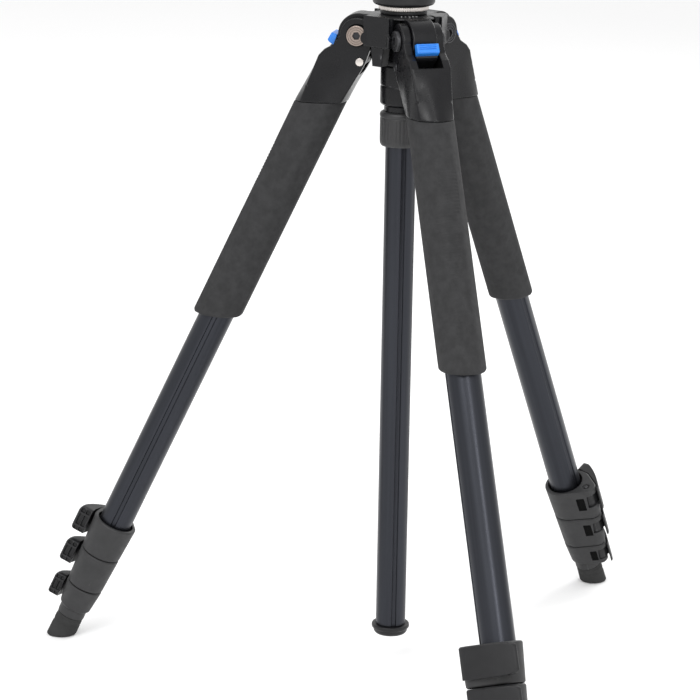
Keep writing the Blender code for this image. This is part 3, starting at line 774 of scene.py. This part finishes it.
def lock(index):
    """A clamp housing: rounded rim, recess round the tube, pin recess, cam window, side window."""
    scale = LOCK_SCALES[index]
    low, high = lock_span(index)
    pin = LEVER_PIN * scale
    floor = low if index < 2 else low + 7.2
    body = hull(lock_slice(index + 1, floor, floor + 0.3, 1.0)
                + lock_slice(index + 1, floor + 1.2, floor + 1.4)
                + lock_slice(index, high - 1.4, high - 1.0)
                + lock_slice(index, high - 0.4, high, 0.9))
    if index == 2:
        body = join(body, rod(LOCK_COLLAR, low, floor + 3, sides=ROUND))
    cam_low, cam_high = cam_span(index)
    reach = (CAM_RADIUS + 2 * GAP) * scale
    window = hull([rod(reach, cam_low - GAP, cam_high + GAP, pin + swing, 24) for swing in CAM_SWING])
    top_bore = rod(TUBE_RADII[index] + GAP, (low + high) / 2, high + 10)
    low_bore = rod(TUBE_RADII[index + 1] + GAP, low - 10, high)
    pin_hole = rod(LEVER_PIN_RADIUS + GAP, low - 10, high + 10, pin)
    rim = rod(TUBE_RADII[index] + 1.7, high - 3.0, high + 5, sides=ROUND)
    pin_recess = rod(3.0 * scale, high - 1.3, high + 5, pin)
    side_window = box((-1.5, -3.25 * scale, high - 18.9 * scale), (4.0, 3.25 * scale, high - 6.6 * scale))
    turn = math.atan2(-0.46, -0.888)
    place = Matrix.Translation((-9.1 * scale, -19.3 * scale, 0)) @ Matrix.Rotation(turn, 4, "Z")
    side_window.transform(place)
    body = softened(cut(body, window, top_bore, low_bore, pin_hole, rim, pin_recess, side_window), 0.32, 4)
    back = place.inverted()
    # The side window's back, the rim recess round the tube and the housing's lower end take the near-black
    # finish: painted shade.
    for polygon in body.polygons:
        centre = polygon.center
        spot = back @ centre
        in_window = (-1.9 < spot.x < -0.25 and abs(spot.y) < 3.4 * scale
                     and high - 19.1 * scale < centre.z < high - 6.4 * scale)
        in_rim = high - 3.3 < centre.z < high - 0.8 and centre.xy.length < TUBE_RADII[index] + 1.9
        in_seam = index < 2 and centre.z < low + 0.5
        polygon.material_index = 1 if in_window or in_rim or in_seam else 0
    return body


def lever(index):
    """A wrap-round lever with its cam and pin; the end of its tab has moulded pockets."""
    scale = LOCK_SCALES[index]
    low, high = lever_span(index)
    edge, clear = 1.5, 2 * GAP
    points = arc(LEVER_PIN, LEVER_BACK_RADIUS, -75.0, -40.0, 8)
    points += bend(Vector(points[-1]), LEVER_BULGE, Vector((LEVER_FACE, LEVER_END_Y - 2 * edge)), 20)[1:]
    points += arc((LEVER_FACE - edge, LEVER_END_Y - edge), edge, 0.0, 90.0, 6)
    points += [(LEVER_FACE - LEVER_TAB, LEVER_END_Y), (LEVER_FACE - LEVER_TAB - 0.2, LEVER_END_Y - 5.5)]
    points += arc(NOSE_SHOULDER[:2], NOSE_SHOULDER[2] + clear, -5.0, -34.0, 8)
    points += arc(LEVER_PIN, NOSE_RADIUS + clear, -34.0, -75.0, 8)
    shell = prism([(x * scale, y * scale) for x, y in points], low, high)
    pin = LEVER_PIN * scale
    cam_low, cam_high = cam_span(index)
    cam = hull([rod(CAM_RADIUS * scale, cam_low, cam_high, pin),
                rod(CAM_RADIUS * scale * 0.6, cam_low, cam_high, pin + CAM_ARM * scale)])
    height = high - low
    left, right = (LEVER_FACE - LEVER_TAB + 1.2) * scale, (LEVER_FACE - 2.0) * scale
    width = (right - left - 0.9) / 2
    pockets = []
    for start, end in ((0.08, 0.22), (0.29, 0.71), (0.78, 0.92)):
        for column in (0, 1):
            x = left + column * (width + 0.9)
            pockets.append(box((x, (LEVER_END_Y - 2.4) * scale, low + height * start),
                               (x + width, (LEVER_END_Y + 4.0) * scale, low + height * end)))
    corner = 5.2 * scale
    rounded_ends = [eased([(end * scale, high), (end * scale, low), (-40.0, low), (-40.0, high)], corner)
                    for end in (LEVER_END_Y, LEVER_FACE)]
    seen_ahead = front_prism(rounded_ends[0], -10.0, 40.0)
    seen_along = side_prism(rounded_ends[1], -50.0, 20.0)
    shell = boolean(shell, [seen_ahead, seen_along], "INTERSECT")
    body = softened(cut(join(shell, cam), *pockets), 0.3, 4)
    for polygon in body.polygons:
        centre = polygon.center
        in_pocket = (left - 0.3 < centre.x < right + 0.3 and centre.y > (LEVER_END_Y - 2.6) * scale
                     and abs(polygon.normal.x) < 0.98)
        at_end = centre.y > (LEVER_END_Y - 0.5) * scale or in_pocket
        polygon.material_index = 1 if at_end and centre.x > 18.6 * scale else 0
    axle = lathe([(0.0, low), (LEVER_PIN_RADIUS, low), (LEVER_PIN_RADIUS, LOCK_TOPS[index] - 0.5),
                  (LEVER_PIN_RADIUS - 0.3, LOCK_TOPS[index] - 0.2), (0.0, LOCK_TOPS[index] - 0.2)], 32)
    axle.transform(Matrix.Translation((pin.x, pin.y, 0.0)))
    return merged_keeping(body, axle, 2)


def sole_point(angle, radius, lift):
    """A point on a plane that is level when the legs stand at their angle."""
    x, y = radius * math.cos(angle), radius * math.sin(angle)
    return (x, y, lift / math.cos(LEG_ANGLE) - x * math.tan(LEG_ANGLE))


def foot():
    """A rubber foot: round neck, two rings, flared skirt and a level sole with turned treads."""
    count = 96
    angles = [2 * math.pi * i / count for i in range(count)]
    top = LOCK_LOWEST
    plug = TUBE_RADII[3] - WALL - GAP
    rings = [[(r * math.cos(a), r * math.sin(a), z) for a in angles]
             for r, z in ((plug - 0.6, top + 22.0), (plug, top + 21.4), (plug, top),
                          (FOOT_TOP_RADIUS - 0.6, top), (FOOT_TOP_RADIUS, top - 0.6))]
    neck = [Vector(point) for point in rings[-1]]
    edge = [Vector(sole_point(a, FOOT_SOLE_RADIUS, 1.9)) for a in angles]
    steps = 24
    for step in range(1, steps + 1):
        share = step / steps
        groove = 0.35 * max(0.0, math.sin(share * math.pi * 6.0)) if share < 0.5 else 0.0
        ring = []
        for first, second in zip(neck, edge):
            point = first.lerp(second, share)
            shrink = 1.0 - groove / FOOT_SOLE_RADIUS
            ring.append((point.x * shrink, point.y * shrink, point.z))
        rings.append(ring)
    for radius, lift in ((10.45, 1.2), (9.9, 0.5), (9.0, 0.1), (8.4, 0.0), (6.8, 0.0), (6.6, 0.6),
                         (5.8, 0.6), (5.6, 0.0), (4.0, 0.0), (3.8, 0.6), (3.0, 0.6), (2.8, 0.0)):
        rings.append([sole_point(a, radius, lift) for a in angles])
    rings.append([sole_point(0.0, 0.0, 0.0)])
    rings.insert(0, [(0.0, 0.0, top + 22.0)])
    return loft(rings, False)


# ---------------------------------------------------------------- shapes of the middle

def turned_to(mesh, degrees):
    mesh.transform(Matrix.Rotation(math.radians(degrees), 4, "Z"))
    return mesh


def beside_leg(outwards, round_axis):
    """A point given from the next leg clockwise, in the frame of the block between legs."""
    turn = math.radians(60.0)
    return (outwards * math.cos(turn) + round_axis * math.sin(turn),
            round_axis * math.cos(turn) - outwards * math.sin(turn))


def sector_block():
    """The block between two legs with its skirt, on the X axis."""
    head_room = EAR_OUTER + BOLT_HEAD_THICKNESS + 0.8
    side = [
        (CORE_RADIUS * 0.68, -CORE_RADIUS * 0.62),
        beside_leg(EAR_CLEAR, 6.0),
        beside_leg(EAR_CLEAR, EAR_OUTER + 0.6),
        beside_leg(HEAD_CLEAR, EAR_OUTER + 0.6),
        beside_leg(HEAD_CLEAR, head_room),
        beside_leg(HEAD_CLEAR + 0.7, head_room + 1.2),
        (BLOCK_REACH, -BLOCK_HALF),
    ]
    block = prism(side + [(x, -y) for x, y in reversed(side)], BLOCK_BOTTOM, SHOULDER_TOP)
    top = BLOCK_BOTTOM + 1.0
    skirt = [(-6.0, top), (-4.3, SKIRT_BOTTOM + 2.4), (4.3, SKIRT_BOTTOM + 2.4), (6.0, top)]
    return join(block, front_prism(skirt, CORE_RADIUS + 4.6, BLOCK_REACH - 1.2))


def shoulder():
    """The casting under a thin plate, and plain pale ticks where the photograph has printing.

    The webs end just inside the drums and the plate is added last: the exact solver loses solids
    whose faces lie in one plane.
    """
    core = rod(CORE_RADIUS, SHOULDER_BOTTOM, SHOULDER_TOP - 0.2, sides=72)
    pieces = []
    cutters = [rod(COLUMN_RADIUS + GAP, 400, 600)]
    for azimuth in LEG_AZIMUTHS.values():
        hinge = (HINGE_RADIUS, HINGE_HEIGHT)
        drum = across(rod(DRUM_RADIUS, -DRUM_HALF, DRUM_HALF, sides=72), hinge)
        web = box((12.0, -DRUM_HALF + 0.2, WEB_BOTTOM),
                  (HINGE_RADIUS, DRUM_HALF - 0.2, HINGE_HEIGHT + DRUM_RADIUS * 0.98))
        pieces += [turned_to(drum, azimuth), turned_to(web, azimuth)]
        pieces.append(turned_to(sector_block(), azimuth + 60.0))
        cutters.append(turned_to(across(rod(BOLT_RADIUS + GAP, -20, 20), hinge), azimuth))
        start, end = BOSS_SPAN
        for low, high in ((start, end), (-end, -start)):
            pieces.append(turned_to(across(rod(BOSS_RADIUS, low, high), BOSS_PLACE), azimuth))
    body = softened(cut(join(core, *pieces), *cutters), 0.42, 5)
    inner = COLUMN_RADIUS + GAP
    plate = lathe([(inner, 496.3), (26.4, 496.3), (27.4, 496.7), (27.0, 497.2), (20.0, 498.1),
                   (inner, 498.1)])
    ticks = []
    for turn in (-16.0, -8.0, 0.0, 8.0, 16.0):
        length = 3.4 if turn == 0.0 else 2.0
        tick = box((TICK_START, -0.35, SHOULDER_TOP - 0.15),
                   (TICK_START + length, 0.35, SHOULDER_TOP + 0.03))
        ticks.append((1, turned_to(tick, TICK_AZIMUTH + turn)))
    return merged((0, body), (0, plate), *ticks)


def sleeve():
    """The column's guide under the shoulder, with a fine groove and a spigot for the collar."""
    inner, outer = COLUMN_RADIUS + GAP, SLEEVE_RADIUS
    top = SHOULDER_BOTTOM - GAP
    profile = [(outer - 1.0, top), (outer, top - 1.0), (outer, 447.0), (outer - 0.4, 446.6),
               (outer - 0.4, 445.8), (outer, 445.4), (outer, SLEEVE_BOTTOM + 2.6),
               (outer - 0.8, SLEEVE_BOTTOM + 1.4), (SPIGOT_RADIUS, SLEEVE_BOTTOM),
               (SPIGOT_RADIUS, SPIGOT_BOTTOM), (inner, SPIGOT_BOTTOM), (inner, top)]
    return lathe(rounded(profile, 0.5))


def collar():
    """The twist collar: a rounded top edge, a groove under it and a fluted flank."""
    outer, bore = SLEEVE_RADIUS, SPIGOT_RADIUS + GAP
    lip = COLUMN_RADIUS + 2 * GAP
    above = [(outer - 2.2, COLLAR_TOP), (outer - 0.7, COLLAR_TOP - 0.8), (outer, COLLAR_TOP - 2.2),
             (outer - 0.1, COLLAR_TOP - 3.8), (outer - 0.6, COLLAR_TOP - 4.4),
             (outer - 0.3, COLLAR_TOP - 5.0)]
    below = [(outer - 0.5, COLLAR_BOTTOM + 1.6), (outer - 1.5, COLLAR_BOTTOM), (lip, COLLAR_BOTTOM),
             (lip, COLLAR_BOTTOM + 1.5), (bore, COLLAR_BOTTOM + 1.5), (bore, COLLAR_TOP)]

    def fluted(angle, radius, height):
        inside = ramp(min(height - COLLAR_BOTTOM - 4.0, COLLAR_TOP - 6.0 - height) + 1.0, 1.0)
        return -0.25 * inside * (0.5 + 0.5 * math.cos(36 * angle)) if radius > SLEEVE_RADIUS - 0.45 else 0.0

    fall = COLLAR_TOP - COLLAR_BOTTOM - 10.0
    flank = [(outer - 0.25, COLLAR_TOP - 5.6 - i * fall / 12) for i in range(13)]
    return lathe(rounded(above, 0.5, closed=False) + flank + below, 288, fluted)


def collet():
    """A ring split once, which the collar squeezes on to the column."""
    inner, outer = COLUMN_RADIUS + 0.25, SPIGOT_RADIUS
    low, high = COLLAR_BOTTOM + 1.8, SPIGOT_BOTTOM - GAP
    ring = lathe([(outer, high), (outer - 0.5, low), (inner, low), (inner, high)])
    return cut(ring, box((0, -0.6, low - 1), (20, 0.6, high + 1)))


def cap():
    plug = COLUMN_RADIUS - WALL - GAP
    top = COLUMN_BOTTOM - GAP
    side = [(0.0, top + 10), (plug, top + 10), (plug, top), (CAP_FLANGE - 0.4, top),
            (CAP_FLANGE, top - 0.8), (CAP_FLANGE, top - 2.6), (CAP_FLANGE - 0.9, top - 3.3),
            (CAP_FLANGE - 1.4, top - 3.5), (CAP_FLANGE - 1.5, CAP_BOTTOM + 1.6),
            (CAP_FLANGE - 2.6, CAP_BOTTOM), (8.0, CAP_BOTTOM), (7.4, CAP_BOTTOM + 0.6),
            (0.0, CAP_BOTTOM + 0.6)]
    return lathe(rounded(side, 0.35, closed=False))


def washer():
    low, high = SHOULDER_TOP + GAP, 500.9
    outer, inner = RING_RADIUS - 1.2, COLUMN_RADIUS + GAP
    return lathe(rounded([(outer, high), (outer, low), (inner, low), (inner, high)], 0.4))


def lock_ring():
    """The bright ring, finely knurled, with its plug down into the column."""
    plug = COLUMN_RADIUS - WALL - GAP
    low, high = 501.2, PLATFORM_BOTTOM - GAP
    bore = STUD_RADIUS + GAP
    profile = [(RING_RADIUS - 0.7, high), (RING_RADIUS - 0.2, high - 0.3), (RING_RADIUS, high - 0.7),
               (RING_RADIUS, (low + high) / 2), (RING_RADIUS, low + 0.6), (RING_RADIUS - 0.2, low + 0.2),
               (RING_RADIUS - 0.6, low), (plug, low), (plug, low - 10), (bore, low - 10), (bore, high)]

    def knurl(angle, radius, height):
        return -0.22 * (0.5 + 0.5 * math.cos(90 * angle)) if radius > RING_RADIUS - 0.1 else 0.0

    return lathe(profile, 720, knurl)


def platform():
    """The round platform, with a rounded lower edge."""
    bore = STUD_RADIUS + GAP
    edge = 2.8
    profile = [(7.0, PLATFORM_TOP), (PLATFORM_RADIUS - 1.0, PLATFORM_TOP),
               (PLATFORM_RADIUS - 0.2, PLATFORM_TOP - 0.3), (PLATFORM_RADIUS, PLATFORM_TOP - 1.1)]
    profile += [(PLATFORM_RADIUS, PLATFORM_TOP - 1.1 - i * 0.6) for i in range(1, 9)]
    profile += arc((PLATFORM_RADIUS - edge, PLATFORM_BOTTOM + edge), edge, -5.0, -90.0, 8)
    profile += [(bore, PLATFORM_BOTTOM), (bore, PLATFORM_TOP)]
    return lathe(profile, 240)


def pad():
    """A rubber ring with concentric ribs."""
    low, high = PLATFORM_TOP + GAP, PAD_TOP
    outer, inner = PLATFORM_RADIUS - 1.5, 7.0
    profile = [(inner, low), (outer, low), (outer, high - 0.3), (outer - 0.3, high)]
    r = outer - 1.2
    while r > inner + 1.6:
        profile += [(r, high), (r - 0.2, high - 0.35), (r - 0.6, high - 0.35), (r - 0.8, high)]
        r -= 1.7
    profile += [(inner + 0.3, high), (inner, high - 0.3)]
    return lathe(profile, 144)


def stud():
    """A threaded stud; the thread is one helix of small steps."""
    bottom, top = 495.2, STUD_TOP
    count = 48
    steps = int((top - bottom) / STUD_PITCH * 6)
    rings = [[(0.0, 0.0, bottom)]]
    for step in range(steps + 1):
        height = bottom + (top - bottom) * step / steps
        ring = []
        for i in range(count):
            angle = 2 * math.pi * i / count
            phase = (height / STUD_PITCH - i / count) % 1.0
            depth = 0.85 * (1.0 - abs(2 * phase - 1.0))
            taper = 1.1 * (1.0 - ramp(min(top - height, height - bottom), 1.1))
            r = STUD_RADIUS - max(depth, taper)
            ring.append((r * math.cos(angle), r * math.sin(angle), height))
        rings.append(ring)
    rings.append([(0.0, 0.0, top)])
    return loft(rings, False)


# ---------------------------------------------------------------- assembly

def leg_matrix(side):
    turn = Matrix.Rotation(math.radians(LEG_AZIMUTHS[side]), 4, "Z")
    hinge = Vector((0, COLUMN_Y * MM, 0)) + turn @ Vector((HINGE_RADIUS * MM, 0, HINGE_HEIGHT * MM))
    foot_tip = Matrix.Translation((TUBE_OFFSET * MM, 0, -HINGE_TO_FOOT * MM))
    return Matrix.Translation(hinge) @ turn @ Matrix.Rotation(-LEG_ANGLE, 4, "Y") @ foot_tip


def finished(mesh, *finishes):
    """A shape in metres with its materials, smooth but for its real edges."""
    mesh.transform(Matrix.Scale(MM, 4))
    for name in finishes:
        mesh.materials.append(FINISHES[name])
    mesh.shade_smooth()
    mesh.set_sharp_from_angle(angle=math.radians(42))
    return mesh


def stand_for(node, mesh, matrix):
    """A piece shown in place of a CAD node, riding on the same body."""
    obj = bpy.data.objects.new(f"look_{node}", mesh)
    bpy.context.scene.collection.objects.link(obj)
    obj.matrix_world = matrix
    bpy.context.view_layer.update()
    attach(obj, frame["nodes"][node]["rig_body"])
    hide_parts(node)
    return obj


def add_legs():
    bolt = through_pin(BOLT_RADIUS, BOLT_HEAD, BOLT_HEAD_THICKNESS, hinge_centre(), 2, 3.0)
    latch_pin = through_pin(LATCH_PIN_RADIUS, LATCH_PIN_HEAD, 0.8, LATCH_PIVOT)
    shapes = {
        "yoke": (finished(yoke(), "casting", "painted_shade"), "casting"),
        "hinge_bolt": (finished(bolt, "steel", "dark_steel_and_painted_shade"), "steel"),
        "latch_pin": (finished(latch_pin, "bright_ring", "dark_steel_and_painted_shade"), "steel"),
        "angle_latch": (finished(latch(), "black_plastic", "blue_plastic"), "blue_plastic"),
        "grip": (finished(grip(), "rubber_grip"), "rubber_grip"),
        "foot": (finished(foot(), "rubber_foot"), "rubber_foot"),
    }
    for index in range(4):
        shapes[f"tube_{index + 1}"] = (finished(leg_tube(index), "anodised"), "anodised")
    for index in range(3):
        shapes[f"lock_{index + 1}"] = (finished(lock(index), "housing", "painted_shade"), "housing")
        shape = finished(lever(index), "lever", "black_plastic", "dark_steel_and_painted_shade")
        shapes[f"lever_{index + 1}"] = (shape, "lever_plastic")
    for side in LEG_AZIMUTHS:
        matrix = leg_matrix(side)
        for name, (mesh, slot) in shapes.items():
            stand_for(f"{side}_{name}", mesh, matrix)


def add_middle():
    matrix = Matrix.Translation((0, COLUMN_Y * MM, 0))
    stem = tube(COLUMN_RADIUS, COLUMN_BOTTOM, COLUMN_TOP, (COLUMN_GROOVE_AZIMUTH,))
    for node, mesh, finishes, slot in (
        ("shoulder", shoulder(), ("casting", "tick_paint"), "casting"),
        ("column_sleeve", sleeve(), ("casting",), "casting"),
        ("column_washer", washer(), ("black_plastic",), "black_plastic"),
        ("column_collet", collet(), ("black_plastic",), "black_plastic"),
        ("twist_collar", collar(), ("collar_plastic",), "collar_plastic"),
        ("column", stem, ("anodised",), "anodised"),
        ("column_cap", cap(), ("black_plastic",), "black_plastic"),
        ("lock_ring", lock_ring(), ("bright_ring",), "bright_ring"),
        ("platform", platform(), ("black_plastic",), "black_plastic"),
        ("platform_pad", pad(), ("rubber_foot",), "rubber_foot"),
        ("camera_stud", stud(), ("steel",), "steel"),
    ):
        stand_for(node, finished(mesh, *finishes), matrix)


# ---------------------------------------------------------------- studio

def add_camera():
    data = bpy.data.cameras.new("camera")
    data.lens = CAMERA_LENS
    data.sensor_width = SENSOR
    data.clip_start = 0.01
    data.clip_end = 50.0
    obj = bpy.data.objects.new("camera", data)
    bpy.context.scene.collection.objects.link(obj)
    ahead = Vector((math.sin(CAMERA_YAW) * math.cos(CAMERA_PITCH),
                    math.cos(CAMERA_YAW) * math.cos(CAMERA_PITCH), -math.sin(CAMERA_PITCH)))
    right = Vector((math.cos(CAMERA_YAW), -math.sin(CAMERA_YAW), 0.0))
    up = right.cross(ahead)
    turned_right = right * math.cos(CAMERA_ROLL) + up * math.sin(CAMERA_ROLL)
    turned_up = up * math.cos(CAMERA_ROLL) - right * math.sin(CAMERA_ROLL)
    obj.matrix_world = Matrix((
        (turned_right.x, turned_up.x, -ahead.x, CAMERA_PLACE.x),
        (turned_right.y, turned_up.y, -ahead.y, CAMERA_PLACE.y),
        (turned_right.z, turned_up.z, -ahead.z, CAMERA_PLACE.z),
        (0.0, 0.0, 0.0, 1.0),
    ))
    bpy.context.scene.camera = obj


def add_area(name, place, target, size, power):
    data = bpy.data.lights.new(name, "AREA")
    data.shape = "RECTANGLE"
    data.size, data.size_y = size
    data.energy = power
    obj = bpy.data.objects.new(name, data)
    obj.location = place
    obj.rotation_euler = (Vector(target) - Vector(place)).to_track_quat("-Z", "Y").to_euler()
    bpy.context.scene.collection.objects.link(obj)


def add_studio():
    shape = bmesh.new()
    bmesh.ops.create_circle(shape, cap_ends=True, segments=96, radius=14.0)
    mesh = from_bmesh(shape)
    floor = bpy.data.objects.new("floor", mesh)
    bpy.context.scene.collection.objects.link(floor)
    material = bpy.data.materials.new("floor")
    material.use_nodes = True
    shader = material.node_tree.nodes["Principled BSDF"]
    shader.inputs["Base Color"].default_value = (0.93, 0.93, 0.93, 1)
    shader.inputs["Roughness"].default_value = 0.9
    mesh.materials.append(material)
    world = bpy.data.worlds.new("studio")
    bpy.context.scene.world = world
    world.use_nodes = True
    background = world.node_tree.nodes["Background"]
    background.inputs["Color"].default_value = (1.0, 1.0, 1.0, 1)
    background.inputs["Strength"].default_value = 0.97
    add_area("key", (-1.6, -1.6, 2.6), (0, 0, 0.3), (1.6, 1.6), 45)
    add_area("strip", (0.15, -2.3, 1.5), (0, 0, 0.42), (0.35, 1.8), 16)
    add_area("rim", (1.8, 1.2, 1.8), (0, 0, 0.4), (1.2, 1.6), 25)
    bpy.context.scene.view_settings.view_transform = "Standard"


add_camera()
add_studio()
add_legs()
add_middle()
